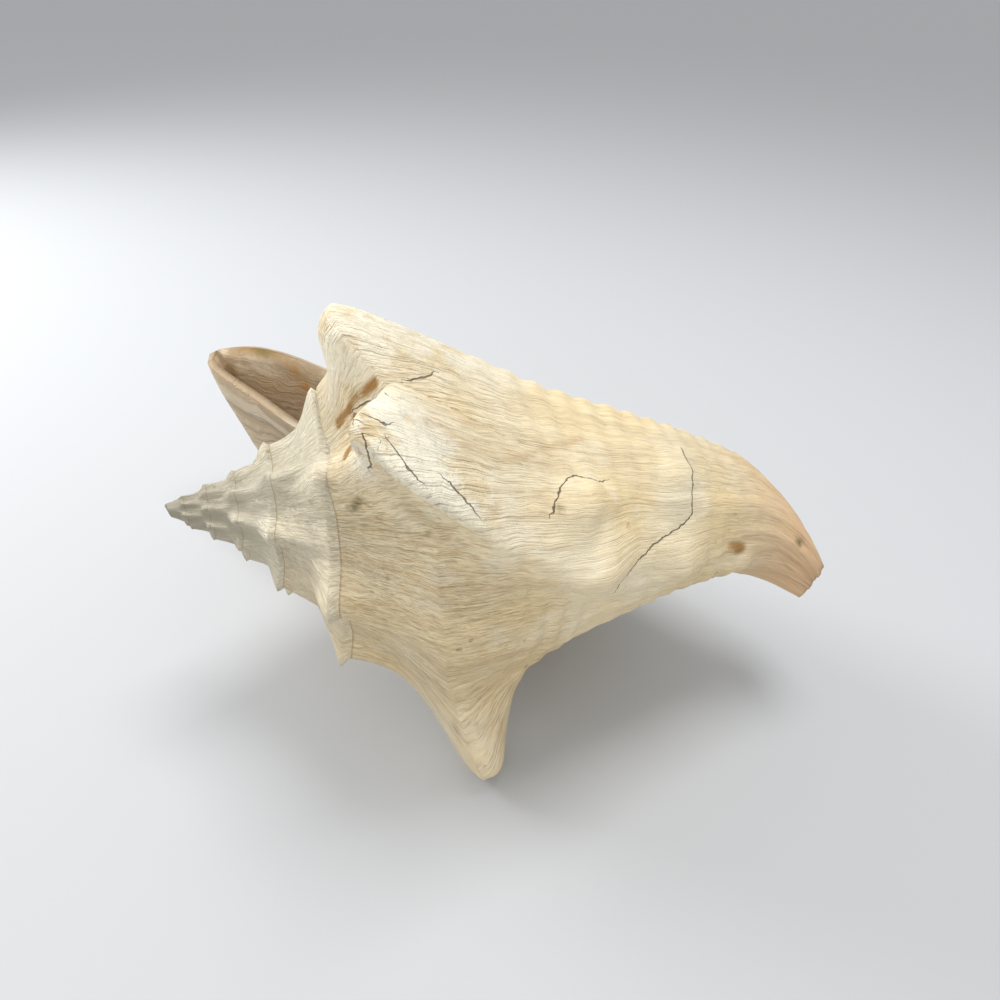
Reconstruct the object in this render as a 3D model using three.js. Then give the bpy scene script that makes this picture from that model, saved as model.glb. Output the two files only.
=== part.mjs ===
// Queen conch shell, grown in one piece: knobbed spire, large last whorl, flared lip and canal.
// Millimetres, +Z up. It rests on the long knob and on the flared lip, with its mouth to the rear.
import * as THREE from "three";

// Driving dimensions: distances run along the shell's axis towards the canal, radii from that
// axis. A turn is one whorl; turn 0 is the last knob and earlier turns are negative.
const SPIRE_TIP = -5;
const SHELL_END = 219;
const FIRST_TURN = -5.64;
const FLARE_TURN = 0.1;
const LIP_TURN = 0.36;
const LAST_KNOB_ANGLE = -57;

// How the shoulder grew: turn, distance, radius. Distances grow from the spire's tip.
const GROWTH = [
  [-7, -1, 1.6],
  [-5.25, 7, 4.4],
  [-4.25, 14.3, 7.2],
  [-3.25, 23.2, 11.5],
  [-2.25, 34.5, 20],
  [-1.25, 51, 36],
  [-0.25, 79, 56],
  [0, 89, 58.5],
  [0.4, 91, 62],
];
const ORIGINS = [0, SPIRE_TIP, 0];
const SUTURE_DROP = 0.07;
const RAMP_REACH = 0.5;
const RAMP_SAG = 0.3;
const BODY_FULLNESS = 1.22;
const BODY_ROW_SPACING = 1.1;
const FIRST_SUTURE_RADIUS = 0.75;

// The canal's outer radius, where it starts at the columella, and its bend towards the back
const CANAL_RADIUS = 11;
const COLUMELLA_RADIUS = 2.5;
const CANAL_BEND_START = 184;
const CANAL_BEND = 22;
const CANAL_BEND_ANGLE = -57;
const CANAL_RISE = 4;
const CANAL_RISE_START = 105;
const CANAL_RISE_REACH = 70;
const CANAL_RISE_WIDTH = 70;
const CANAL_ROUNDING = 9;
const CANAL_NARROWING = 0.12;
const CANAL_OPENING_TURNS = 0.45;

// Edge of the flared lip from the suture round to the canal: distance, radius, angle
const LIP_EDGE = [
  [68, 51, -187],
  [46, 64, -174],
  [18, 97, -176],
  [-5, 126, -179],
  [19, 125, -182],
  [54, 116, -178],
  [92, 112, -168],
  [128, 98, -160],
  [158, 68, -158],
  [180, 38, -166],
  [201, 16, -180],
  [219, 7.2, -187],
];

// The belly of the flare below that edge, which the shell rests on
const LIP_BELLY = [
  [74, 54, -150],
  [66, 86, -144],
  [54, 116, -137],
  [44, 146, -131],
  [54, 159, -129],
  [76, 156, -131],
  [102, 142, -133],
  [136, 143, -129.2],
  [156, 106, -125],
  [176, 50, -136],
  [197, 20, -146],
  [219, 8, -140],
];
const FLARE_REACH = 0.42;
const SUTURE_PULL = 0.07;

// Large knobs: turn, tip's distance and radius, reach before and after it in growth, reach
// towards the spire and towards the canal, slant of the crest, sharpness
const KNOBS = [
  knob(-0.386, [51.5, 72], [13, 13], [12, 34], 0, 1.35),
  knob(-0.297, [61.3, 80], [13, 8], [13, 26], 0.55, 1.35),
  knob(0, [102, 92], [11, 11], [8.5, 15], 0, 2),
];
function knob(turn, tip, [before, after], [spireward, canalward], slant, sharpness) {
  return { turn, tip, before, after, spireward, canalward, slant, sharpness };
}
const KNOB_FOOT = 0.14;
const KNOB_FOOT_REACH = 2.2;
const KNOB_FOOT_SHARPNESS = 1.3;
const KNOB_FULLNESS = 1.25;
const KNOB_CUT = 0.03;
const KNOB_BLUNT = 0.8;

// Low swellings and a hollow of the last whorl: turn, distance, height, reach
const SWELLINGS = [
  [-0.245, 118, 3.4, 11],
  [-0.265, 146, 3, 10],
  [-0.14, 122, 2.6, 9],
  [-0.13, 148, 2.4, 9],
  [0.03, 150, -4.5, 28],
];

// Small knobs of the spire
const KNOBS_PER_TURN = 5.4;
const KNOBS_GAINED_PER_TURN = 1.3;
const MOST_GAINED_TURNS = 3.2;
const SPIRE_KNOB_HEIGHT = 0.23;
const SPIRE_KNOB_LEAN = 0.05;
const SPIRE_KNOB_BELT = 0.17;
const LEAST_KNOB_BELT = 0.6;
const SPIRE_KNOB_SHARPNESS = 2.2;
const LAST_SPIRE_KNOB_TURN = -0.75;
const SPIRE_KNOB_FADE_TURNS = 0.1;
const SPIRE_START_TURNS = 0.3;

// Wall and mouth
const WALL = 4.6;
const LIP_WALL = 3.2;
const CANAL_WALL = 2.6;
const CANAL_WALL_START = 0.6;
const MOUTH_DEPTH_TURNS = 0.46;

// How the shell lies: turned about the upright axis, then tilted and rolled on its rest
const YAW = 9;
const PITCH = -3.94;
const ROLL = -3.05;
const SEAT = [-97.55, -41.38, 82.38];

// Facets
const STEPS_PER_TURN = 48;
const RAMP_STEPS = 8;
const BODY_STEPS = 22;
const CORNER_STEPS = 3;

const SUTURE_ROW = RAMP_STEPS + 1;
const LAST_ROW = SUTURE_ROW + BODY_STEPS;
const TURN_STEPS = Math.round((LIP_TURN - FIRST_TURN) * STEPS_PER_TURN);
const BODY_START = TURN_STEPS - STEPS_PER_TURN;
const MOUTH_STEPS = Math.round(MOUTH_DEPTH_TURNS * STEPS_PER_TURN);
const WALL_START = TURN_STEPS - MOUTH_STEPS;

const radians = THREE.MathUtils.degToRad;
const blend = (t) => THREE.MathUtils.smoothstep(t, 0, 1);
const turnOf = (step) => FIRST_TURN + step / STEPS_PER_TURN;
const angleOf = (turn) => LAST_KNOB_ANGLE - 360 * turn;

// Smooth growth between the stations, on logarithms because a shell grows by ratios
function grown(turn, column) {
  const at = (n) => Math.log(GROWTH[n][column] - ORIGINS[column]);
  const slope = (n) => {
    const a = Math.max(n - 1, 0);
    const b = Math.min(n + 1, GROWTH.length - 1);
    return (at(b) - at(a)) / (GROWTH[b][0] - GROWTH[a][0]);
  };
  let n = 0;
  while (n < GROWTH.length - 2 && turn > GROWTH[n + 1][0]) n += 1;
  const span = GROWTH[n + 1][0] - GROWTH[n][0];
  const t = (turn - GROWTH[n][0]) / span;
  const value =
    (2 * t ** 3 - 3 * t ** 2 + 1) * at(n) +
    (t ** 3 - 2 * t ** 2 + t) * span * slope(n) +
    (3 * t ** 2 - 2 * t ** 3) * at(n + 1) +
    (t ** 3 - t ** 2) * span * slope(n + 1);
  return Math.exp(value) + ORIGINS[column];
}
const shoulderAt = (turn) => grown(turn, 1);
const shoulderRadius = (turn) => grown(turn, 2);

// A point of a list of stations, smooth between them, with t from 0 to 1
function along(stations, t) {
  const place = t * (stations.length - 1);
  const n = Math.min(Math.floor(place), stations.length - 2);
  const f = place - n;
  const pick = (m) => stations[THREE.MathUtils.clamp(m, 0, stations.length - 1)];
  return [0, 1, 2].map((axis) => {
    const [a, b, c, d] = [n - 1, n, n + 1, n + 2].map((m) => pick(m)[axis]);
    const rise = (c - a) * f;
    const bow = (2 * a - 5 * b + 4 * c - d) * f ** 2;
    const turn = (3 * b - a - 3 * c + d) * f ** 3;
    return (2 * b + rise + bow + turn) / 2;
  });
}

// Shell coordinates to space: X along the axis, angle 0 to the front and 90 up
function place(distance, radius, angle) {
  const turned = radians(angle);
  const t = Math.max((distance - CANAL_BEND_START) / (SHELL_END - CANAL_BEND_START), 0);
  const bend = CANAL_BEND * t ** 2;
  const bendAngle = radians(CANAL_BEND_ANGLE);
  const near = Math.exp(-((radius / CANAL_RISE_WIDTH) ** 2));
  const rise = CANAL_RISE * blend((distance - CANAL_RISE_START) / CANAL_RISE_REACH) * near;
  return new THREE.Vector3(
    distance,
    -radius * Math.cos(turned) - bend * Math.cos(bendAngle),
    radius * Math.sin(turned) + bend * Math.sin(bendAngle) + rise,
  );
}

// Radius of the canal's end, which opens from the columella to its full width in half a turn
function canalRadius(turn) {
  const opening = blend((turn - (LIP_TURN - 1)) / CANAL_OPENING_TURNS);
  return THREE.MathUtils.lerp(COLUMELLA_RADIUS, CANAL_RADIUS, opening);
}

// The whorl's outline at one turn, from its suture over the shoulder to the canal,
// as distance and radius, before any knob
function outline(turn, suture) {
  const shoulder = shoulderAt(turn);
  const radius = shoulderRadius(turn);
  const points = [suture];
  const bowAt = suture[0] + RAMP_REACH * (shoulder - suture[0]);
  const bowRadius = suture[1] + RAMP_SAG * (radius - suture[1]);
  for (let n = 1; n <= RAMP_STEPS; n += 1) {
    const t = n / RAMP_STEPS;
    const [a, b, c] = [(1 - t) ** 2, 2 * t * (1 - t), t ** 2];
    const distance = a * suture[0] + b * bowAt + c * shoulder;
    points.push([distance, a * suture[1] + b * bowRadius + c * radius]);
  }
  const end = canalRadius(turn);
  const first = (SUTURE_DROP * radius) / (SHELL_END - shoulder);
  for (let n = 0; n <= BODY_STEPS; n += 1) {
    const t = first + (1 - first) * (n / BODY_STEPS) ** BODY_ROW_SPACING;
    const distance = shoulder + (SHELL_END - shoulder) * t;
    const rounding = Math.max(1 - (SHELL_END - distance) / CANAL_ROUNDING, 0);
    const narrowed = 1 - CANAL_NARROWING * rounding ** 2;
    points.push([distance, (end + (radius - end) * (1 - t ** BODY_FULLNESS)) * narrowed]);
  }
  const begun = blend((turn - FIRST_TURN) / SPIRE_START_TURNS);
  const below = points[SUTURE_ROW];
  for (const point of points.slice(1, SUTURE_ROW)) {
    const share = (point[0] - suture[0]) / (below[0] - suture[0]);
    const straight = THREE.MathUtils.lerp(suture[1], below[1], share);
    point[1] = THREE.MathUtils.lerp(straight, point[1], begun);
  }
  return points;
}

// Height of a large knob at a point of the last whorl, 0 to 1
function knobShare(large, turn, distance) {
  const down = distance - shoulderAt(turn);
  const around = (turn - large.turn) * 2 * Math.PI * shoulderRadius(large.turn);
  const across = around - large.slant * Math.max(down, 0);
  const u = across / (across < 0 ? large.before : large.after);
  const v = down / (down < 0 ? large.spireward : large.canalward);
  const far = Math.hypot(u, v);
  const foot = Math.exp(-((far / KNOB_FOOT_REACH) ** KNOB_FOOT_SHARPNESS));
  const bell = THREE.MathUtils.lerp(Math.exp(-(far ** large.sharpness)), foot, KNOB_FOOT);
  const share = KNOB_FULLNESS * Math.max(0, (bell - KNOB_CUT) / (1 - KNOB_CUT));
  if (share < KNOB_BLUNT) return share;
  const rest = 1 - KNOB_BLUNT;
  return KNOB_BLUNT + rest * (1 - Math.exp(-(share - KNOB_BLUNT) / rest));
}

// Number of spire knobs between a turn and the last knob
function knobCount(turn) {
  const back = -turn;
  const gained = Math.min(back, MOST_GAINED_TURNS);
  const grownPart = KNOBS_PER_TURN * gained + (KNOBS_GAINED_PER_TURN * gained ** 2) / 2;
  const steady = KNOBS_PER_TURN + KNOBS_GAINED_PER_TURN * MOST_GAINED_TURNS;
  return grownPart + steady * Math.max(back - MOST_GAINED_TURNS, 0);
}

// A point of an outline with its knobs and swellings
function raised(turn, [distance, radius]) {
  let [moved, lifted] = [distance, radius];
  const shoulder = shoulderRadius(turn);
  const down = distance - shoulderAt(turn);
  const early = blend((LAST_SPIRE_KNOB_TURN - turn) / SPIRE_KNOB_FADE_TURNS);
  const belt = Math.exp(-((down / (SPIRE_KNOB_BELT * shoulder + LEAST_KNOB_BELT)) ** 2));
  const wave = (1 + Math.cos(2 * Math.PI * knobCount(turn))) / 2;
  const begun = blend((turn - FIRST_TURN) / SPIRE_START_TURNS);
  const small = shoulder * belt * wave ** SPIRE_KNOB_SHARPNESS * early * begun;
  lifted += SPIRE_KNOB_HEIGHT * small;
  moved -= SPIRE_KNOB_LEAN * small;
  let strongest = 0;
  for (const large of KNOBS) {
    const share = knobShare(large, turn, distance);
    if (share > strongest) {
      strongest = share;
      moved = distance + (large.tip[0] - shoulderAt(large.turn)) * share;
      lifted = radius + (large.tip[1] - shoulderRadius(large.turn)) * share;
    }
  }
  for (const [at, where, height, reach] of SWELLINGS) {
    const around = (turn - at) * 2 * Math.PI * radius;
    const far = Math.hypot(around, distance - where) / reach;
    lifted += height * Math.exp(-(far ** 2));
  }
  return [moved, lifted];
}

// Outlines of every step, each starting on the suture point of the whorl before
const plain = [];
const knobbed = [];
for (let step = 0; step <= TURN_STEPS; step += 1) {
  const turn = turnOf(step);
  const before = shoulderRadius(turn - 1);
  const opened = THREE.MathUtils.lerp(FIRST_SUTURE_RADIUS, 1, Math.min(step / STEPS_PER_TURN, 1));
  const suture = step < STEPS_PER_TURN
    ? [shoulderAt(turn - 1) + SUTURE_DROP * before, before * opened]
    : knobbed[step - STEPS_PER_TURN][SUTURE_ROW];
  const points = outline(turn, suture);
  plain.push(points);
  knobbed.push([suture, ...points.slice(1).map((point) => raised(turn, point))]);
}
const inSpace = (outlines, step, row) => place(...outlines[step][row], angleOf(turnOf(step)));

// The flare: from the whorl's outline where it starts, tangent to it, over the belly to the edge
const flareStep = Math.round((FLARE_TURN - FIRST_TURN) * STEPS_PER_TURN);
function flared(step, row) {
  const start = inSpace(plain, flareStep, row);
  const tangent = start.clone().sub(inSpace(plain, flareStep - 1, row)).normalize();
  const edge = place(...along(LIP_EDGE, row / LAST_ROW));
  const belly = place(...along(LIP_BELLY, row / LAST_ROW));
  const handle = start.clone().addScaledVector(tangent, FLARE_REACH * edge.distanceTo(start));
  const curve = new THREE.CubicBezierCurve3(start, handle, belly, edge);
  return curve.getPoint((step - flareStep) / (TURN_STEPS - flareStep));
}

// A point of the outer face; the flare's first rows follow the suture it grew along
function outerPoint(outlines, step, row) {
  if (step <= flareStep) return inSpace(outlines, step, row);
  const pull = Math.exp(-((row / (SUTURE_PULL * LAST_ROW)) ** 2));
  const drift = inSpace(outlines, step, 0).sub(flared(step, 0));
  const knobs = inSpace(outlines, step, row).sub(inSpace(plain, step, row));
  return flared(step, row).addScaledVector(drift, pull).addScaledVector(knobs, 1 - pull);
}
const outer = plain.map((points, step) => points.map((_, row) => outerPoint(knobbed, step, row)));
const smooth = plain.map((points, step) => points.map((_, row) => outerPoint(plain, step, row)));

// A point of the inner face of the outer wall
function innerPoint(step, row) {
  const steps = [step - 2, Math.min(step + 2, TURN_STEPS)];
  const rows = [Math.max(row - 2, 0), Math.min(row + 2, LAST_ROW)];
  const growth = smooth[steps[1]][row].clone().sub(smooth[steps[0]][row]);
  const down = smooth[step][rows[1]].clone().sub(smooth[step][rows[0]]);
  const outward = growth.cross(down);
  if (row === LAST_ROW) outward.x = 0;
  outward.normalize();
  const toLip = blend((step - flareStep) / (TURN_STEPS - flareStep));
  const toCanal = blend((row / LAST_ROW - CANAL_WALL_START) / (1 - CANAL_WALL_START));
  const body = THREE.MathUtils.lerp(WALL, CANAL_WALL, toCanal);
  const wall = THREE.MathUtils.lerp(body, Math.min(body, LIP_WALL), toLip);
  return smooth[step][row].clone().addScaledVector(outward, -wall);
}

// One closed mesh: every face is added with its outside to the same hand
const vertices = [];
const faces = [];
function addVertex(point) {
  vertices.push(point);
  return vertices.length - 1;
}
const addQuad = (a, b, c, d) => faces.push([a, b, c], [a, c, d]);

// Outer vertices; a whorl's first row is the suture row of the whorl before
const outerIndex = outer.map(() => []);
for (let step = 0; step <= TURN_STEPS; step += 1) {
  const covered = step < BODY_START - MOUTH_STEPS ? SUTURE_ROW : LAST_ROW;
  for (let row = 0; row <= covered; row += 1) {
    const shared = row === 0 && step >= STEPS_PER_TURN;
    const hidden = step < BODY_START && row > SUTURE_ROW && row < SUTURE_ROW + CORNER_STEPS;
    if (shared) outerIndex[step].push(outerIndex[step - STEPS_PER_TURN][SUTURE_ROW]);
    else outerIndex[step].push(hidden ? -1 : addVertex(outer[step][row]));
  }
}
const innerIndex = [];
for (let step = WALL_START; step <= TURN_STEPS; step += 1) {
  innerIndex[step] = [];
  for (let row = CORNER_STEPS; row <= LAST_ROW; row += 1) {
    innerIndex[step][row] = addVertex(innerPoint(step, row));
  }
}
const parietal = (step, row) => outerIndex[step - STEPS_PER_TURN][row];
const CORNER_ROW = SUTURE_ROW + CORNER_STEPS;

// Outer face, and the wall of the whorl before inside the mouth
for (let step = 0; step < TURN_STEPS; step += 1) {
  const rows = step < BODY_START ? SUTURE_ROW : LAST_ROW;
  for (let row = 0; row < rows; row += 1) {
    const [here, next] = [outerIndex[step], outerIndex[step + 1]];
    addQuad(here[row], next[row], next[row + 1], here[row + 1]);
  }
}
for (let step = WALL_START; step < TURN_STEPS; step += 1) {
  for (let row = CORNER_ROW; row < LAST_ROW; row += 1) {
    const corners = [parietal(step, row), parietal(step + 1, row)];
    addQuad(...corners, parietal(step + 1, row + 1), parietal(step, row + 1));
  }
}

// Inner face of the outer wall, and the corner of the mouth beside the suture
for (let step = WALL_START; step < TURN_STEPS; step += 1) {
  const [here, next] = [innerIndex[step], innerIndex[step + 1]];
  for (let row = CORNER_STEPS; row < LAST_ROW; row += 1) {
    addQuad(next[row + 1], next[row], here[row], here[row + 1]);
  }
  const corners = [parietal(step + 1, CORNER_ROW), parietal(step, CORNER_ROW)];
  addQuad(here[CORNER_STEPS], next[CORNER_STEPS], ...corners);
}

// Edge of the lip, and the web that joins it to the whorl before
const lipOuter = outerIndex[TURN_STEPS];
const lipInner = innerIndex[TURN_STEPS];
for (let row = CORNER_STEPS; row < LAST_ROW; row += 1) {
  addQuad(lipOuter[row + 1], lipOuter[row], lipInner[row], lipInner[row + 1]);
}
for (let n = 0; n < CORNER_STEPS; n += 1) {
  const inside = parietal(TURN_STEPS, SUTURE_ROW + n);
  const outside = parietal(TURN_STEPS, SUTURE_ROW + n + 1);
  if (n === 0) faces.push([lipOuter[1], lipOuter[0], outside]);
  else addQuad(lipOuter[n + 1], lipOuter[n], inside, outside);
}
faces.push([lipInner[CORNER_STEPS], lipOuter[CORNER_STEPS], parietal(TURN_STEPS, CORNER_ROW)]);

// The back of the mouth, zipped between the outer wall and the whorl before
let [wallRow, bodyRow] = [CORNER_STEPS, CORNER_ROW];
const backWall = innerIndex[WALL_START];
while (wallRow < LAST_ROW || bodyRow < LAST_ROW) {
  const wallShare = (wallRow - CORNER_STEPS) / (LAST_ROW - CORNER_STEPS);
  const bodyShare = (bodyRow - CORNER_ROW) / (LAST_ROW - CORNER_ROW);
  if (wallRow < LAST_ROW && (wallShare <= bodyShare || bodyRow === LAST_ROW)) {
    faces.push([backWall[wallRow + 1], backWall[wallRow], parietal(WALL_START, bodyRow)]);
    wallRow += 1;
  } else {
    const below = parietal(WALL_START, bodyRow + 1);
    faces.push([parietal(WALL_START, bodyRow), below, backWall[wallRow]]);
    bodyRow += 1;
  }
}

// The end of the canal, an open ring, and the tip of the spire
function addOutlineFace(loop) {
  const flat = loop.map((index) => new THREE.Vector2(vertices[index].y, vertices[index].z));
  const turned = THREE.ShapeUtils.isClockWise(flat);
  for (const [a, b, c] of THREE.ShapeUtils.triangulateShape(flat, [])) {
    const same = THREE.ShapeUtils.isClockWise([flat[a], flat[b], flat[c]]) === turned;
    faces.push(same ? [loop[a], loop[b], loop[c]] : [loop[a], loop[c], loop[b]]);
  }
}
const canalOutside = outerIndex.slice(BODY_START).map((rows) => rows[LAST_ROW]);
const canalInside = innerIndex.slice(WALL_START).map((rows) => rows[LAST_ROW]).reverse();
const canalCore = outerIndex.slice(WALL_START - STEPS_PER_TURN, BODY_START).map((rows) => rows[LAST_ROW]);
addOutlineFace([...canalOutside, ...canalInside, ...canalCore]);

const apex = addVertex(place(SPIRE_TIP, 0, 0));
const firstTurn = outerIndex.slice(0, STEPS_PER_TURN + 1).map((rows) => rows[0]);
const firstEdge = outerIndex[0].slice(1, SUTURE_ROW).reverse();
const tipLoop = [...firstTurn, ...firstEdge];
tipLoop.forEach((index, n) => faces.push([tipLoop[(n + 1) % tipLoop.length], index, apex]));

// The whole mesh, laid down as it rests
const geometry = new THREE.BufferGeometry();
const positions = vertices.flatMap((vertex) => vertex.toArray());
geometry.setAttribute("position", new THREE.Float32BufferAttribute(positions, 3));
geometry.setIndex(faces.flat());
geometry.rotateY(-radians(PITCH));
geometry.rotateX(radians(ROLL));
geometry.rotateZ(radians(YAW));
geometry.translate(...SEAT);
geometry.computeVertexNormals();

const material = new THREE.MeshStandardMaterial({ color: 0xe9dfc8, roughness: 0.72, metalness: 0 });
const shell = new THREE.Mesh(geometry, material);
shell.name = "conch_shell";

const conch = new THREE.Group();
conch.add(shell);
export default conch;
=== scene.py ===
"""Queen conch shell: the grown shell in one piece, its finish, and a plain studio stage."""

import math

import bpy
import numpy as np
from mathutils import Matrix, Vector
from mathutils.bvhtree import BVHTree
from mathutils.kdtree import KDTree


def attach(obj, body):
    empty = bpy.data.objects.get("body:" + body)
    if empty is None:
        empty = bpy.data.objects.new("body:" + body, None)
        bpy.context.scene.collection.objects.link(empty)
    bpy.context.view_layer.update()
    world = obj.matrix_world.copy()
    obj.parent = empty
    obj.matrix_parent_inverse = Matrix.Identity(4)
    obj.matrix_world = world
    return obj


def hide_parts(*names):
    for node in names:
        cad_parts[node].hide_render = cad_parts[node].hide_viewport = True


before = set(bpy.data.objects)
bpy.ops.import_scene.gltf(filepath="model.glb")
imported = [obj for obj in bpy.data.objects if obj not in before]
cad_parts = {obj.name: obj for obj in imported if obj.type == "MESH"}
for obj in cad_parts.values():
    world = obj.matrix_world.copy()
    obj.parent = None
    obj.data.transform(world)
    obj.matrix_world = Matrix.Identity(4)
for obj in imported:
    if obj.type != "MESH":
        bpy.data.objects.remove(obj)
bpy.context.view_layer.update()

bl_info = {
    "name": "Conch Shell Studio",
    "version": (1, 0, 0),
    "blender": (4, 5, 0),
    "location": "View3D > Sidebar > Conch",
    "description": "Grows a queen conch shell and sets it on a studio floor",
    "category": "Add Mesh",
}

MM = 0.001
TINY = 1e-9

# Growth of the shell, in millimetres: distances run along its axis, radii from that axis. A turn
# is one whorl; turn 0 is the last large knob, and earlier turns are negative.
SPIRE_TIP = -5.0
SHELL_END = 219.0
FIRST_TURN = -5.64
FLARE_TURN = 0.11
LIP_TURN = 0.36
LAST_KNOB_ANGLE = -57.0
# Stations of growth: turn, distance and radius of the shoulder
GROWTH = np.array([
    (-7.0, -1.0, 1.6),
    (-5.25, 7.0, 4.4),
    (-4.25, 14.3, 7.2),
    (-3.25, 23.2, 11.5),
    (-2.25, 34.5, 20.0),
    (-1.25, 51.0, 36.0),
    (-0.25, 79.0, 56.0),
    (0.0, 89.0, 58.5),
    (0.4, 91.0, 62.0),
])
# What each column of the stations grows from
ORIGINS = (0.0, SPIRE_TIP, 0.0)

# Outline of a whorl: how far below the shoulder before it the suture runs, how small the first
# suture is, the bow of the ramp, the fullness of the body and the spacing of its rows
SUTURE_DROP = 0.07
FIRST_SUTURE_RADIUS = 0.75
RAMP_REACH = 0.5
RAMP_SAG = 0.3
BODY_FULLNESS = 1.22
BODY_ROW_SPACING = 1.1

# Canal: its radius and that of the columella before it, its bend, its rise, its rounded end, and
# the turns over which it opens
CANAL_RADIUS = 12.2
COLUMELLA_RADIUS = 2.5
CANAL_BEND_START = 184.0
CANAL_BEND = 22.0
CANAL_BEND_ANGLE = -57.0
CANAL_RISE = 4.0
CANAL_RISE_START = 105.0
CANAL_RISE_REACH = 70.0
CANAL_RISE_RADIUS = 70.0
CANAL_ROUNDING = 9.0
CANAL_NARROWING = 0.12
CANAL_OPENING_TURNS = 0.45

# Edge of the flared lip and the belly below it: distance, radius, angle
LIP_EDGE = np.array([
    (68, 51, -187), (46, 64, -174), (18, 97, -176), (-5, 126, -179),
    (19, 125, -182), (54, 116, -178), (92, 112, -168), (128, 98, -160),
    (158, 68, -158), (180, 38, -166), (201, 16, -180), (219, 7.2, -187),
], float)
LIP_BELLY = np.array([
    (74, 54, -150), (66, 86, -144), (54, 116, -137), (44, 146, -131),
    (54, 159, -129), (76, 156, -131), (102, 142, -133), (136, 143, -129.2),
    (156, 106, -125), (176, 50, -136), (197, 20, -146), (219, 8, -140),
], float)
# How far the flare runs straight on, and the share of the rows that the suture holds back
FLARE_REACH = 0.42
SUTURE_PULL = 0.07

# Large knobs: turn, distance and radius of the tip, reach before and after it in growth,
# reach towards the spire and towards the canal, slant of the crest, sharpness, the height past
# which it is blunt, and how chalky it is worn
LARGE_KNOBS = [
    dict(turn=-0.386, tip=(51.5, 72), before=13, after=13, spireward=12, canalward=34, slant=0.0,
         sharpness=1.35, blunt=0.8, worn=0.8),
    dict(turn=-0.284, tip=(59, 82), before=14, after=5, spireward=9, canalward=23, slant=0.74,
         sharpness=1.0, blunt=0.92, worn=1.0),
    dict(turn=0.0, tip=(102, 92), before=11, after=11, spireward=8.5, canalward=15, slant=0.0,
         sharpness=2.0, blunt=0.8, worn=0.25),
]
# The wide foot of a large knob, how full it is and where it is cut off
KNOB_FOOT = 0.14
KNOB_FOOT_REACH = 2.2
KNOB_FOOT_SHARPNESS = 1.3
KNOB_FULLNESS = 1.25
KNOB_CUT = 0.03

# Low swellings: turn, distance, height, reach
SWELLINGS = [
    (-0.255, 124.5, 6.2, 7.5),
    (-0.286, 158.6, 5, 7.5),
    (-0.192, 132.5, 5.5, 7.5),
    (-0.161, 161, 4, 7),
    (-0.105, 186, 2.5, 6),
    (-0.22, 146, -1.5, 10),
    (0.03, 150, -4.5, 28),
]

# Small knobs of the spire: their number, form and first and last turns
KNOBS_PER_TURN = 5.4
KNOBS_GAINED_PER_TURN = 1.3
MOST_GAINED_TURNS = 3.2
SPIRE_KNOB_HEIGHT = 0.27
SPIRE_KNOB_LEAN = 0.05
SPIRE_KNOB_BELT = 0.13
LEAST_KNOB_BELT = 0.5
SPIRE_KNOB_SHARPNESS = 2.5
LAST_SPIRE_KNOB_TURN = -0.75
SPIRE_KNOB_FADE_TURNS = 0.1
SPIRE_START_TURNS = 0.3

# Walls: share of the rows past which the wall thins to the canal, how far the mouth goes in
CANAL_WALL_START = 0.6
MOUTH_DEPTH_TURNS = 0.46

# How the shell lies, and how softly what would reach below the floor is worn flat
YAW = 9.0
PITCH = -3.94
ROLL = -3.05
SEAT = (-97.55, -41.38, 82.38)
WORN_FLAT = 0.2

# Rows of the shell's outline, counted from the suture: the shoulder, the row where the next
# whorl's suture runs, the inner corner of the mouth, the canal's end
SHOULDER = 8
SUTURE_ROW = 9
CORNER_ROWS = 3
LAST_ROW = 31

# Relief of the outer face: the turns over which it starts, and the radius it is sized to
RELIEF_START_TURNS = 0.12
LARGEST_RADIUS = 62.0
# Uneven forms of the relief: seed, cells in a turn, length of a cell along the axis, height. The
# bend of the scars is in turns, the wander of the cords in radians, and the spire's cells in rows.
SCAR_BEND = (3, 9, 40.0, 0.006)
BROAD_SCARS = (5, 22, 100.0, 0.9)
FINE_SCARS = (7, 60, 56.25, 0.7)
BROAD_LUMPS = (13, 16, 26.0, 1.3)
FINE_LUMPS = (15, 38, 11.0, 0.45)
SPIRE_LUMPS = (17, 60, 3.0, 0.6)
CORD_WANDER = (11, 5, 30.0, 1.2)
CORD_CHANGE = (19, 9, 20.0, 0.45)
# Spiral cords: spacing, height, the usual share of it, and where they start, stop and how softly
CORD_SPACING = 7.0
CORD_HEIGHT = 0.6
USUAL_CORD = 0.55
CORDS_START = 90.0
CORDS_STOP = 205.0
CORDS_FADE = 30.0
# Rows where the lumps and the whole relief begin, and how much stronger the spire's relief is
LUMPS_START_ROW = 4.0
LUMPS_FADE_ROWS = 6.0
SUTURE_CLEAR_ROWS = 1.5
SPIRE_RELIEF = 1.5

# Wear of the large knobs: height where it starts, height over which it grows, length of a ramp row
WEAR_START = 0.25
WEAR_REACH = 0.5
RAMP_ROW_LENGTH = 2.2

# Random values: factors that scramble a cell's numbers, and the shifts and masks they need
TURN_FACTOR = 374761393
ACROSS_FACTOR = 668265263
SEED_FACTOR = 974634777
LAST_FACTOR = 1274126177
FIRST_SHIFT = 13
SECOND_SHIFT = 16
WHOLE_WORD = 0xFFFFFFFF
HALF_WORD = 0xFFFF

# Fineness of the mesh, and the distance under which its points are one, in metres
STEPS_PER_TURN = 240
RAMP_CUTS = 16
BODY_CUTS = 88
MERGE_DISTANCE = 1e-7
# Steps and rows to each side that the inner face takes its direction from
WALL_STENCIL_STEPS = 10
WALL_STENCIL_ROWS = 6

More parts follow.
